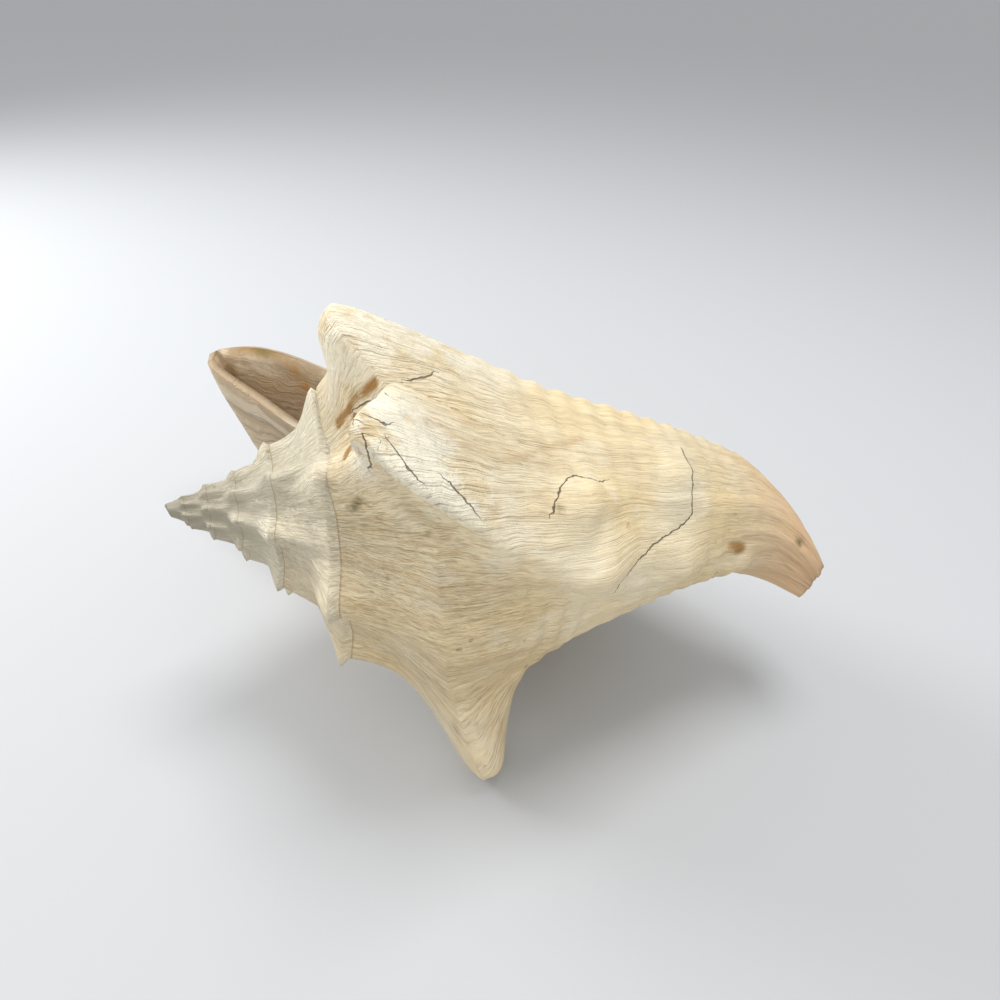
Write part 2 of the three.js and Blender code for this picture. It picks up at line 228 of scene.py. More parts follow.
# Camera: a close view from the front and above, worked out for the shell before it was laid level
LENS_MM = 28.8
SENSOR_MM = 36.0
FRAME_PIXELS = 1000
VIEW_ELEVATION = 33.0
VIEW_DISTANCE = 272.0
AIM_ALONG_AXIS = 109.5
AIM_PIXEL = (505.0, 509.5)
VIEWED_YAW = 9.0
VIEWED_PITCH = -6.0
CAMERA_NEAR = 0.01

# Marks of the weathered shell, as pixels of the photograph: each is a line over the shell's face
CRACKS = {
    "first_cracks": [
        [
            (684, 452), (693, 470), (693, 515), (681, 527),
            (664, 537), (650, 549), (637, 564), (618, 588),
        ],
        [(553, 510), (557, 498), (560, 488), (568, 477), (579, 474), (585, 477), (605, 481)],
        [(386, 393), (367, 401), (354, 411), (352, 420)],
        [(448, 480), (456, 488), (476, 511)],
    ],
    "second_cracks": [
        [(361, 426), (367, 451), (371, 469)],
        [(411, 380), (431, 375)],
        [(392, 444), (404, 462), (418, 478)],
    ],
    "third_cracks": [
        [(363, 418), (370, 427), (388, 424)],
    ],
}
# Pixels between the points of a line, and the least square of a step between them, in metres
PIXEL_STEP = 9
LEAST_SQUARE = 1e-12
# How far a crack shakes from side to side, how wide it is pressed in, how softly it ends
CRACK_SHAKE = 2.0 * MM
CRACK_REACH = 1.3 * MM
CRACK_END = 2.4 * MM

# Stains and one painted shade: colour, half width in millimetres and strength, then the line that
# they follow
STAINS_AND_SHADE = [
    ("rust", 2.2, 0.8, [(206, 358), (222, 354), (240, 351), (262, 350), (285, 358), (300, 368)]),
    ("olive", 1.2, 0.8, [(212, 357), (240, 351), (262, 350), (285, 358)]),
    ("rust", 2.2, 0.9, [(292, 368), (300, 378), (307, 390)]),
    ("rust", 1.3, 1.3, [(374, 381), (356, 398), (345, 414), (338, 424)]),
    ("rust", 1.3, 1.1, [(354, 416), (352, 438), (345, 458)]),
    ("rust", 2.6, 0.75, [(733, 546), (741, 548)]),
    ("rust", 0.9, 0.9, [(407, 487), (409, 489)]),
    ("rust", 2.0, 0.38, [(495, 462), (522, 458), (554, 445), (582, 439)]),
    ("rust", 2.0, 0.32, [(504, 520), (550, 517)]),
    ("rust", 7.0, 0.32, [(397, 366), (428, 363)]),
    # Painted shade: this wide olive line is partly a real tan discolouring and partly the shade at
    # the foot of the cliff under the second large knob's crest
    ("olive", 5.0, 0.34, [(378, 462), (392, 488), (412, 512), (440, 530), (470, 545)]),
    ("rust", 9.0, 0.22, [(412, 578), (460, 596), (503, 610)]),
    ("olive", 1.6, 0.8, [(352, 510), (361, 498)]),
    ("olive", 1.2, 0.8, [(377, 517), (379, 519)]),
    ("olive", 1.0, 0.7, [(375, 533), (377, 535)]),
    ("olive", 1.0, 0.7, [(426, 532), (428, 534)]),
    ("olive", 1.2, 0.8, [(385, 576), (387, 578)]),
    ("olive", 1.0, 0.7, [(366, 504), (368, 506)]),
    ("olive", 1.6, 0.6, [(309, 501), (312, 503)]),
    ("olive", 2.0, 0.6, [(560, 508), (562, 512)]),
    ("olive", 1.0, 0.8, [(443, 687), (445, 689)]),
    ("olive", 1.8, 0.7, [(798, 540), (800, 543)]),
    ("dark", 0.8, 1.0, [(446, 418), (447, 421)]),
    ("dark", 0.6, 1.0, [(427, 424), (427, 426)]),
    ("dark", 0.6, 1.0, [(579, 447), (579, 451)]),
    ("dark", 0.8, 1.0, [(457, 731), (457, 736)]),
    ("dark", 0.8, 1.0, [(464, 753), (465, 756)]),
]
STAIN_AND_SHADE_COLOURS = ("rust", "olive", "dark")

# Uneven patterns of the finish: scale, detail and roughness. The first four follow the growth
# lines, and the others the place on the shell.
GROWTH_PATTERNS = {
    "bands": (26.0, 3.0, 0.6),
    "lines": (260.0, 3.0, 0.6),
    "hairs": (900.0, 2.0, 0.6),
    "lamellae": (75.0, 2.0, 0.5),
}
PLACE_PATTERNS = {
    "drift": (45.0, 2.0, 0.5),
    "fine_drift": (150.0, 2.0, 0.5),
    "blotches": (22.0, 4.0, 0.6),
    "clouds": (60.0, 5.0, 0.65),
    "grain": (900.0, 3.0, 0.7),
    "flaking": (240.0, 4.0, 0.6),
    "shake": (330.0, 3.0, 0.6),
}
# How far the growth lines drift, in turns, and how slowly their patterns change along a line
LINE_DRIFT = 0.014
FINE_LINE_DRIFT = 0.003
LINE_STRETCH = 0.0007
# The mean of any of the patterns
PATTERN_MEAN = 0.5
# Layers of colour: what each follows, where it begins, where it is full, strength, and colour,
# which is tan for the growth lines
LINE_LAYERS = [
    ("bands", 0.48, 0.66, 0.28),
    ("lines", 0.48, 0.64, 0.28),
    ("hairs", 0.5, 0.64, 0.42),
]
OUTER_LAYERS = [
    ("clouds", 0.5, 0.66, 0.35, "chalk"),
    ("turn", -0.75, -1.5, 0.8, "chalk"),
    ("row", 24.0, 30.5, 0.75, "peach"),
    ("turn", -0.12, 0.1, 0.3, "tan"),
]
MOUTH_LAYERS = [
    ("lines", 0.5, 0.7, 0.45, "tan"),
    ("clouds", 0.5, 0.7, 0.3, "chalk"),
]
# Where a colour or a pattern begins and where it is full, in turns, rows or shares of a pattern
YELLOW_BLOTCHES = (0.4, 0.64)
LARGE_WHORLS = (-3.0, -0.8)
BELOW_SHOULDER = (10.0, 18.0)
WORN_CLOUDS = (0.36, 0.5)
MOUTH_TO_LIP = (-0.05, 0.34)
OUTER_MOUTH_START = (-0.95, -0.66)
OUTER_MOUTH_STOP = (-0.5, -0.6)
LOBE_TURNS = (0.14, 0.26)
LOBE_ROWS = (17.0, 11.0)
LAMELLA_EDGES = (0.42, 0.6)
STAIN_AND_SHADE_EDGES = (0.06, 0.5)
SPECK_EDGES = (0.2, 0.08)
SPECKLED_BLOTCHES = (0.55, 0.66)
CRACK_ENDS = (0.15, 0.5)
SEAM_ROWS = (0.22, 0.04)
ROUGHER_CLOUDS = (0.3, 0.7)
# Strengths, scales and shares: two numbers are for the shoulder and for the body below it
LINES_ON_WHORL = (1.4, 0.6)
HEIGHT_ON_WHORL = (1.4, 0.65)
OUTER_MOUTH_TAN = 0.8
LAMELLA_CHALK = 0.28
STAIN_AND_SHADE_RAGGEDNESS = 1.6
STAIN_AND_SHADE_LOSS = -0.3
SPECK_SCALE = 190.0
SPECK_STRENGTH = 0.55
CRACK_CORE = 0.3
CRACK_STRENGTH = 0.75
SEAM_STRENGTH = 0.5
# Roughness from cloud to cloud, how much less there is in the mouth, and strength of the shine
ROUGHNESS = (0.58, 0.78)
MOUTH_SMOOTHNESS = 0.28
SHINE = 0.35
# Sockets of the Mix node for colours, which share their names with those for numbers
MIX_FACTOR, MIX_FIRST, MIX_SECOND, MIX_RESULT = 0, 6, 7, 2
# Bump: its depth in metres, the share of each pattern in it, and how flat the mouth is
BUMP_DEPTH = 0.0016
LINE_HEIGHTS = {"bands": 1.2, "lines": 0.9, "hairs": 0.45}
PLACE_HEIGHTS = {"grain": 0.12, "clouds": 0.25}
MOUTH_FLATNESS = 0.6
CRACK_HEIGHT = 1.2
SPECK_HEIGHT = 0.5

# Stage: size of the floor in metres, its roughness, the tint of the surrounding light, and the
# lights with their places and widths in metres
FLOOR_SIZE = 60.0
FLOOR_ROUGHNESS = 0.8
SURROUNDING_TINT = (0.97, 0.98, 1.0, 1)
LIGHTS = [
    ("key", (0.12, 0.1, 1.0), 0.4),
    ("side", (-0.75, 0.35, 0.5), 0.4),
    ("fill", (-0.1, -1.2, 0.5), 1.0),
]


def length_setting(name, description, default):
    limits = dict(min=0.0001, max=0.02, precision=4, unit="LENGTH")
    return bpy.props.FloatProperty(name=name, description=description, default=default, **limits)


def colour_setting(name, description, default):
    kind = dict(size=4, min=0.0, max=1.0, subtype="COLOR")
    return bpy.props.FloatVectorProperty(
        name=name, description=description, default=default, **kind
    )


def power_setting(name, description, default):
    limits = dict(min=0.0, unit="POWER")
    return bpy.props.FloatProperty(name=name, description=description, default=default, **limits)


class ConchShellSettings(bpy.types.PropertyGroup):
    """Thicknesses and colours of the shell."""

    wall: length_setting("Wall", "Thickness of the last whorl's wall", 0.0046)
    lip_wall: length_setting("Lip wall", "Thickness of the wall at the edge of the lip", 0.0032)
    canal_wall: length_setting("Canal wall", "Thickness of the wall along the canal", 0.0026)
    crack_width: length_setting("Crack width", "Half width of the dark line of a crack", 0.00028)
    crack_depth: length_setting("Crack depth", "How far a crack is pressed into the face", 0.0004)
    cream: colour_setting("Cream", "Main colour of the outer face", (0.87, 0.75, 0.51, 1))
    yellow_cream: colour_setting("Yellow cream", "Warmer areas of the face", (0.87, 0.70, 0.41, 1))
    chalk: colour_setting("Chalk", "Worn crests and the spire", (0.93, 0.86, 0.68, 1))
    tan: colour_setting("Tan", "Growth lines and bands", (0.54, 0.37, 0.18, 1))
    peach: colour_setting("Peach", "The end of the canal", (0.92, 0.58, 0.32, 1))
    pink: colour_setting("Pink", "Deep inside the mouth", (0.70, 0.34, 0.24, 1))
    lip_tan: colour_setting("Lip tan", "The flared lip", (0.42, 0.31, 0.19, 1))
    rust: colour_setting("Rust", "Rusty stains and seams", (0.42, 0.23, 0.07, 1))
    # Olive is also painted as shade at the foot of the second large knob's cliff, over a real tan
    # discolouring there
    olive: colour_setting("Olive", "Olive green stains", (0.22, 0.17, 0.06, 1))
    dark: colour_setting("Dark", "Cracks and pits", (0.06, 0.045, 0.03, 1))


class ConchStageSettings(bpy.types.PropertyGroup):
    """Floor and light around the shell."""

    floor_colour: colour_setting("Floor", "Colour of the floor", (0.52, 0.53, 0.54, 1))
    key_power: power_setting("Key light", "Power of the light from above", 5.2)
    side_power: power_setting("Side light", "Power of the light from the left", 5.5)
    fill_power: power_setting("Fill light", "Power of the light from the front", 3.4)
    surrounding_light: bpy.props.FloatProperty(
        name="Surrounding light",
        description="Strength of the even light from all around",
        default=0.68,
        min=0.0,
    )


def smooth(t):
    t = np.clip(t, 0, 1)
    return t * t * (3 - 2 * t)


def mix(a, b, t):
    return a + (b - a) * t


def grown(turn, column):
    """Smooth growth between the stations, on logarithms because a shell grows by ratios."""
    x, y = GROWTH[:, 0], np.log(GROWTH[:, column] - ORIGINS[column])
    low = np.maximum(np.arange(len(x)) - 1, 0)
    high = np.minimum(np.arange(len(x)) + 1, len(x) - 1)
    slope = (y[high] - y[low]) / (x[high] - x[low])
    n = np.clip(np.searchsorted(x, turn) - 1, 0, len(x) - 2)
    span = x[n + 1] - x[n]
    t = (turn - x[n]) / span
    value = (2 * t**3 - 3 * t**2 + 1) * y[n] + (t**3 - 2 * t**2 + t) * span * slope[n]
    value += (3 * t**2 - 2 * t**3) * y[n + 1] + (t**3 - t**2) * span * slope[n + 1]
    return np.exp(value) + ORIGINS[column]


def shoulder_at(turn):
    return grown(turn, 1)


def shoulder_radius(turn):
    return grown(turn, 2)


def along(stations, t):
    """Points of a list of stations, smooth between them, with t from 0 to 1."""
    place_on = t * (len(stations) - 1)
    n = np.minimum(np.floor(place_on).astype(int), len(stations) - 2)
    f = (place_on - n)[:, None]
    a, b, c, d = (stations[np.clip(n + k, 0, len(stations) - 1)] for k in (-1, 0, 1, 2))
    bow = (2 * a - 5 * b + 4 * c - d) * f**2 + (3 * b - a - 3 * c + d) * f**3
    return (2 * b + (c - a) * f + bow) / 2


def place(distance, radius, angle):
    """Shell coordinates to space: X along the axis, angle 0 to the front and 90 up."""
    turned = np.radians(angle)
    t = np.maximum((distance - CANAL_BEND_START) / (SHELL_END - CANAL_BEND_START), 0)
    bend = CANAL_BEND * t**2
    bend_angle = math.radians(CANAL_BEND_ANGLE)
    y = -radius * np.cos(turned) - bend * math.cos(bend_angle)
    rise = CANAL_RISE * smooth((distance - CANAL_RISE_START) / CANAL_RISE_REACH)
    rise = rise * np.exp(-((radius / CANAL_RISE_RADIUS) ** 2))
    z = radius * np.sin(turned) + bend * math.sin(bend_angle) + rise
    return np.stack(np.broadcast_arrays(distance, y, z), -1)


def turned_about(axis, degrees):
    """Rotation matrix about X, Y or Z, given as 0, 1 or 2."""
    c, s = math.cos(math.radians(degrees)), math.sin(math.radians(degrees))
    first, second = (axis + 1) % 3, (axis + 2) % 3
    matrix = np.eye(3)
    matrix[first, first] = matrix[second, second] = c
    matrix[first, second], matrix[second, first] = -s, s
    return matrix


def lying_turn():
    """Rotation from the shell's own axes to how it lies."""
    return turned_about(2, YAW) @ turned_about(0, ROLL) @ turned_about(1, -PITCH)


def laid_down(points):
    """Points as they lie on the floor, in metres, with what would reach below it worn flat."""
    lying = points @ lying_turn().T + np.array(SEAT)
    lying[..., 2] = (lying[..., 2] + np.hypot(lying[..., 2], WORN_FLAT)) / 2
    return lying * MM


def canal_radius(turn):
    opened = smooth((turn - (LIP_TURN - 1)) / CANAL_OPENING_TURNS)
    return mix(COLUMELLA_RADIUS, CANAL_RADIUS, opened)


def outline(turn, suture, rows):
    """The whorl's outlines at the given turns, as distance and radius, before any knob."""
    turn = turn[:, None]
    shoulder, radius = shoulder_at(turn), shoulder_radius(turn)
    start_at, start_radius = suture[:, :1], suture[:, 1:]
    t = np.clip(rows / SHOULDER, 0, 1)[None]
    a, b, c = (1 - t) ** 2, 2 * t * (1 - t), t**2
    ramp_at = a * start_at + b * mix(start_at, shoulder, RAMP_REACH) + c * shoulder
    ramp_radius = a * start_radius + b * mix(start_radius, radius, RAMP_SAG) + c * radius
    first = SUTURE_DROP * radius / (SHELL_END - shoulder)
    down = np.clip((rows - SUTURE_ROW) / (LAST_ROW - SUTURE_ROW), 0, 1)[None] ** BODY_ROW_SPACING
    share = np.where(rows <= SUTURE_ROW, first * (rows - SHOULDER), first + (1 - first) * down)
    share = np.maximum(share, 0)
    body_at = mix(shoulder, SHELL_END, share)
    rounding = np.maximum(1 - (SHELL_END - body_at) / CANAL_ROUNDING, 0)
    end = canal_radius(turn)
    body_radius = end + (radius - end) * (1 - share**BODY_FULLNESS)
    body_radius = body_radius * (1 - CANAL_NARROWING * rounding**2)
    on_ramp = rows <= SHOULDER
    distance = np.where(on_ramp, ramp_at, body_at)
    radius = np.where(on_ramp, ramp_radius, body_radius)
    edge = int(np.argmin(abs(rows - SUTURE_ROW)))
    share = (distance - start_at) / (distance[:, edge : edge + 1] - start_at)
    straight = mix(start_radius, radius[:, edge : edge + 1], share)
    begun = smooth((turn - FIRST_TURN) / SPIRE_START_TURNS)
    return distance, np.where(on_ramp, mix(straight, radius, begun), radius)


def knob_share(knob, turn, distance):
    """Height of a large knob at points of the last whorl, 0 to 1."""
    down = distance - shoulder_at(turn)
    around = (turn - knob["turn"]) * 2 * math.pi * shoulder_radius(np.array(knob["turn"]))
    across = around - knob["slant"] * np.maximum(down, 0)
    u = across / np.where(across < 0, knob["before"], knob["after"])
    v = down / np.where(down < 0, knob["spireward"], knob["canalward"])
    far = np.hypot(u, v)
    foot = np.exp(-((far / KNOB_FOOT_REACH) ** KNOB_FOOT_SHARPNESS))
    bell = mix(np.exp(-far ** knob["sharpness"]), foot, KNOB_FOOT)
    share = KNOB_FULLNESS * np.maximum(0, (bell - KNOB_CUT) / (1 - KNOB_CUT))
    blunt = knob["blunt"]
    rounded = blunt + (1 - blunt) * (1 - np.exp(-np.maximum(share - blunt, 0) / (1 - blunt)))
    return np.where(share < blunt, share, rounded)


def knob_count(turn):
    """Number of spire knobs between a turn and the last knob."""
    back = -turn
    gained = np.minimum(back, MOST_GAINED_TURNS)
    steady = KNOBS_PER_TURN + KNOBS_GAINED_PER_TURN * MOST_GAINED_TURNS
    grown_part = KNOBS_PER_TURN * gained + KNOBS_GAINED_PER_TURN * gained**2 / 2
    return grown_part + steady * np.maximum(back - MOST_GAINED_TURNS, 0)


def raised(turn, distance, radius):
    """An outline with its knobs and swellings."""
    turn = turn[:, None]
    shoulder, down = shoulder_radius(turn), distance - shoulder_at(turn)
    early = smooth((LAST_SPIRE_KNOB_TURN - turn) / SPIRE_KNOB_FADE_TURNS)
    early = early * smooth((turn - FIRST_TURN) / SPIRE_START_TURNS)
    belt = np.exp(-((down / (SPIRE_KNOB_BELT * shoulder + LEAST_KNOB_BELT)) ** 2))
    wave = (1 + np.cos(2 * math.pi * knob_count(turn))) / 2
    knob = shoulder * belt * wave**SPIRE_KNOB_SHARPNESS * early
    moved, lifted = distance - SPIRE_KNOB_LEAN * knob, radius + SPIRE_KNOB_HEIGHT * knob
    strongest = np.zeros_like(distance)
    for large in LARGE_KNOBS:
        at = np.array(large["turn"])
        share = knob_share(large, turn, distance)
        here = share > strongest
        moved = np.where(here, distance + (large["tip"][0] - shoulder_at(at)) * share, moved)
        lifted = np.where(here, radius + (large["tip"][1] - shoulder_radius(at)) * share, lifted)
        strongest = np.maximum(strongest, share)
    for at, where, height, reach in SWELLINGS:
        far = np.hypot((turn - at) * 2 * math.pi * radius, distance - where) / reach
        lifted = lifted + height * np.exp(-(far**2))
    return moved, lifted


def shell_rows():
    """Row numbers of the fine mesh: those of the ramp, then those of the body."""
    ramp = np.linspace(0, SHOULDER, RAMP_CUTS + 1)
    body = np.linspace(SUTURE_ROW, LAST_ROW, BODY_CUTS + 1)
    return np.concatenate([ramp, body])


def grow_sheets():
    """The outer face as grids of points, steps of growth by rows: finished, and left plain.

    The rows and turns of the grids come first, and the step where the flare starts comes last.
    """
    rows = shell_rows()
    suture_place = RAMP_CUTS + 1
    steps = round((LIP_TURN - FIRST_TURN) * STEPS_PER_TURN)
    turns = FIRST_TURN + np.arange(steps + 1) / STEPS_PER_TURN
    angle = (LAST_KNOB_ANGLE - 360 * turns)[:, None]
    plain = np.zeros((steps + 1, len(rows), 2))
    knobbed = np.zeros_like(plain)
    for start in range(0, steps + 1, STEPS_PER_TURN):
        here = slice(start, min(start + STEPS_PER_TURN, steps + 1))
        count = here.stop - here.start
        if start == 0:
            before = shoulder_radius(turns[here] - 1)
            opened = mix(FIRST_SUTURE_RADIUS, 1, np.arange(count) / STEPS_PER_TURN)
            dropped = shoulder_at(turns[here] - 1) + SUTURE_DROP * before
            suture = np.stack([dropped, before * opened], 1)
        else:
            suture = knobbed[start - STEPS_PER_TURN : start - STEPS_PER_TURN + count, suture_place]
        distance, radius = outline(turns[here], suture, rows)
        plain[here] = np.stack([distance, radius], -1)
        knobbed[here] = np.stack(raised(turns[here], distance, radius), -1)
        knobbed[here, 0] = suture
    flare = round((FLARE_TURN - FIRST_TURN) * STEPS_PER_TURN)
    points = [place(grid[..., 0], grid[..., 1], angle) for grid in (knobbed, plain)]
    knobs = points[0] - points[1]
    begin, tangent = points[1][flare], points[1][flare] - points[1][flare - 1]
    tangent = tangent / np.linalg.norm(tangent, axis=1, keepdims=True)
    edge = place(*along(LIP_EDGE, rows / LAST_ROW).T)
    belly = place(*along(LIP_BELLY, rows / LAST_ROW).T)
    handle = begin + tangent * FLARE_REACH * np.linalg.norm(edge - begin, axis=1, keepdims=True)
    t = (np.arange(flare, steps + 1) - flare)[:, None, None] / (steps - flare)
    flared = (1 - t) ** 3 * begin + 3 * t * (1 - t) ** 2 * handle
    flared = flared + 3 * t**2 * (1 - t) * belly + t**3 * edge
    pull = np.exp(-((rows / (SUTURE_PULL * LAST_ROW)) ** 2))[:, None]
    sheets = []
    for grid, lift in zip(points, (1, 0)):
        drift = grid[flare:, :1] - flared[:, :1]
        sheet = grid.copy()
        sheet[flare:] = flared + drift * pull + lift * knobs[flare:] * (1 - pull)
        sheets.append(sheet)
    sheets[0] += outward_of(sheets[0]) * relief(rows, turns, plain[..., 0])[..., None]
    return rows, turns, sheets[0], sheets[1], flare


def inner_face(rows, sheet, flare, settings):
    """Points of the inner face of the outer wall, for every step and row of the sheet."""
    steps, count = sheet.shape[0] - 1, sheet.shape[1]
    late = np.minimum(np.arange(steps + 1) + WALL_STENCIL_STEPS, steps)
    early = np.maximum(np.arange(steps + 1) - WALL_STENCIL_STEPS, 0)
    low = np.minimum(np.arange(count) + WALL_STENCIL_ROWS, count - 1)
    high = np.maximum(np.arange(count) - WALL_STENCIL_ROWS, 0)
    outward = np.cross(sheet[late] - sheet[early], sheet[:, low] - sheet[:, high])
    outward[:, -1, 0] = 0
    outward /= np.maximum(np.linalg.norm(outward, axis=-1, keepdims=True), TINY)
    to_lip = smooth((np.arange(steps + 1) - flare) / (steps - flare))[:, None]
    to_canal = smooth((rows / LAST_ROW - CANAL_WALL_START) / (1 - CANAL_WALL_START))[None]
    sizes = (settings.wall, settings.lip_wall, settings.canal_wall)
    wall, lip, canal = (size / MM for size in sizes)
    body = mix(wall, canal, to_canal)
    wall = mix(body, np.minimum(body, lip), to_lip)
    return sheet - outward * wall[..., None]


def uneven(form, turn, across):
    """Smooth random heights over the shell's own coordinates, the same on every run."""
    seed, cells_in_turn, cell_length, height = form
    u, v = turn * cells_in_turn, across / cell_length
    i, j = np.floor(u).astype(int), np.floor(v).astype(int)
    f, g = smooth(u - i), smooth(v - j)

    def corner(a, b):
        n = (a * TURN_FACTOR + b * ACROSS_FACTOR + seed * SEED_FACTOR) & WHOLE_WORD
        n = ((n ^ (n >> FIRST_SHIFT)) * LAST_FACTOR) & WHOLE_WORD
        return ((n ^ (n >> SECOND_SHIFT)) & HALF_WORD) / (HALF_WORD / 2) - 1

    low = mix(corner(i, j), corner(i + 1, j), f)
    high = mix(corner(i, j + 1), corner(i + 1, j + 1), f)
    return mix(low, high, g) * height


def worn_share(turns, rows):
    """How chalky the shell is worn: most at the tips and crests of its knobs, 0 to 1."""
    turn = turns[:, None]
    shoulder = shoulder_at(turn)
    share = np.clip((rows - SUTURE_ROW) / (LAST_ROW - SUTURE_ROW), 0, 1) ** BODY_ROW_SPACING
    on_ramp = shoulder + (rows - SHOULDER) * RAMP_ROW_LENGTH
    distance = np.where(rows <= SHOULDER, on_ramp, mix(shoulder, SHELL_END, share))
    worn = np.zeros(distance.shape)
    for large in LARGE_KNOBS:
        high = smooth((knob_share(large, turn, distance) - WEAR_START) / WEAR_REACH)
        worn = np.maximum(worn, large["worn"] * high)
    return worn


def outward_of(points):
    """Unit normals of a sheet of points, steps by rows."""
    late, early = np.roll(points, -1, 0), np.roll(points, 1, 0)
    late[-1], early[0] = points[-1], points[0]
    low, high = np.roll(points, -1, 1), np.roll(points, 1, 1)
    low[:, -1], high[:, 0] = points[:, -1], points[:, 0]
    normal = np.cross(late - early, low - high)
    return normal / np.maximum(np.linalg.norm(normal, axis=-1, keepdims=True), TINY)


def relief(rows, turns, distance):
    """Height of the small forms over the outer face, in millimetres, for every step and row."""
    turn = np.broadcast_to(turns[:, None], distance.shape)
    late = smooth((turn - LIP_TURN + 1) / RELIEF_START_TURNS)
    size = shoulder_radius(turns)[:, None] / LARGEST_RADIUS
    bent = turn + uneven(SCAR_BEND, turn, distance)
    scars = uneven(BROAD_SCARS, bent, distance) + uneven(FINE_SCARS, bent, distance)
    wander = uneven(CORD_WANDER, turn, distance)
    cords = CORD_HEIGHT * np.cos(2 * math.pi * distance / CORD_SPACING + wander)
    cords *= smooth((distance - CORDS_START) / CORDS_FADE)
    cords *= smooth((CORDS_STOP - distance) / CORDS_FADE)
    cords *= USUAL_CORD + uneven(CORD_CHANGE, turn, distance)
    lumps = uneven(BROAD_LUMPS, turn, distance) + uneven(FINE_LUMPS, turn, distance)
    lumps *= smooth((rows[None] - LUMPS_START_ROW) / LUMPS_FADE_ROWS)
    whole = (scars + cords + lumps) * late
    on_spire = np.sin(math.pi * np.clip(rows / SUTURE_ROW, 0, 1))[None] * (1 - late) * size
    whole += on_spire * SPIRE_RELIEF * (scars + uneven(SPIRE_LUMPS, turn, rows[None]))
    return whole * smooth(rows / SUTURE_CLEAR_ROWS)[None]


def deselect_all():
    if bpy.context.object and bpy.context.object.mode != "OBJECT":
        bpy.ops.object.mode_set(mode="OBJECT")
    bpy.ops.object.select_all(action="DESELECT")


def grid_sheet(name, points, growth, across, worn, inside):
    """A grid primitive bent onto a sheet of points, with its values kept on the face corners."""
    deselect_all()
    down, count = points.shape[0], points.shape[1]
    bpy.ops.mesh.primitive_grid_add(x_subdivisions=count - 1, y_subdivisions=down - 1, size=1)
    sheet = bpy.context.object
    sheet.name = name
    mesh = sheet.data
    found = len(mesh.vertices)
    if found != down * count:
        raise RuntimeError(f"{name}: the grid has {found} vertices, not {down * count}")
    mesh.vertices.foreach_set("co", points.reshape(-1).astype(np.float32))
    corners = np.empty(len(mesh.loops), np.int32)
    mesh.loops.foreach_get("vertex_index", corners)
    kept = {"growth": growth, "across": across, "wear": worn, "inside": inside}
    for label, values in kept.items():
        attribute = mesh.attributes.new(label, "FLOAT", "CORNER")
        flat = np.broadcast_to(values, (down, count)).reshape(-1).astype(np.float32)
        attribute.data.foreach_set("value", flat[corners])
    mesh.update()
    return sheet


def vertices_near(mesh, points):
    """Numbers of the mesh vertices at the given points."""
    places = np.empty(len(mesh.vertices) * 3, np.float32)
    mesh.vertices.foreach_get("co", places)
    places = places.reshape(-1, 3)
    tree = KDTree(len(places))
    for n, co in enumerate(places):
        tree.insert(co, n)
    tree.balance()
    return [tree.find(point)[1] for point in points]


def select_edges_between(shell, chains):
    """Selects the edges that run along each chain of points, in edit mode."""
    deselect_all()
    shell.select_set(True)
    bpy.context.view_layer.objects.active = shell
    mesh = shell.data
    for kind in (mesh.polygons, mesh.edges, mesh.vertices):
        kind.foreach_set("select", np.zeros(len(kind), bool))
    wanted = set()
    for chain in chains:
        numbers = vertices_near(mesh, chain)
        wanted.update(frozenset(pair) for pair in zip(numbers[:-1], numbers[1:]))
    found = 0
    for edge in mesh.edges:
        if frozenset(edge.vertices) in wanted:
            edge.select = True
            found += 1
    if found < len(wanted):
        raise RuntimeError(f"only {found} of {len(wanted)} edges lie along the chains")
    bpy.ops.object.mode_set(mode="EDIT")
    bpy.ops.mesh.select_mode(type="EDGE")


def bridge(shell, first, second):
    select_edges_between(shell, [first, second])
    bpy.ops.mesh.bridge_edge_loops()
    bpy.ops.object.mode_set(mode="OBJECT")


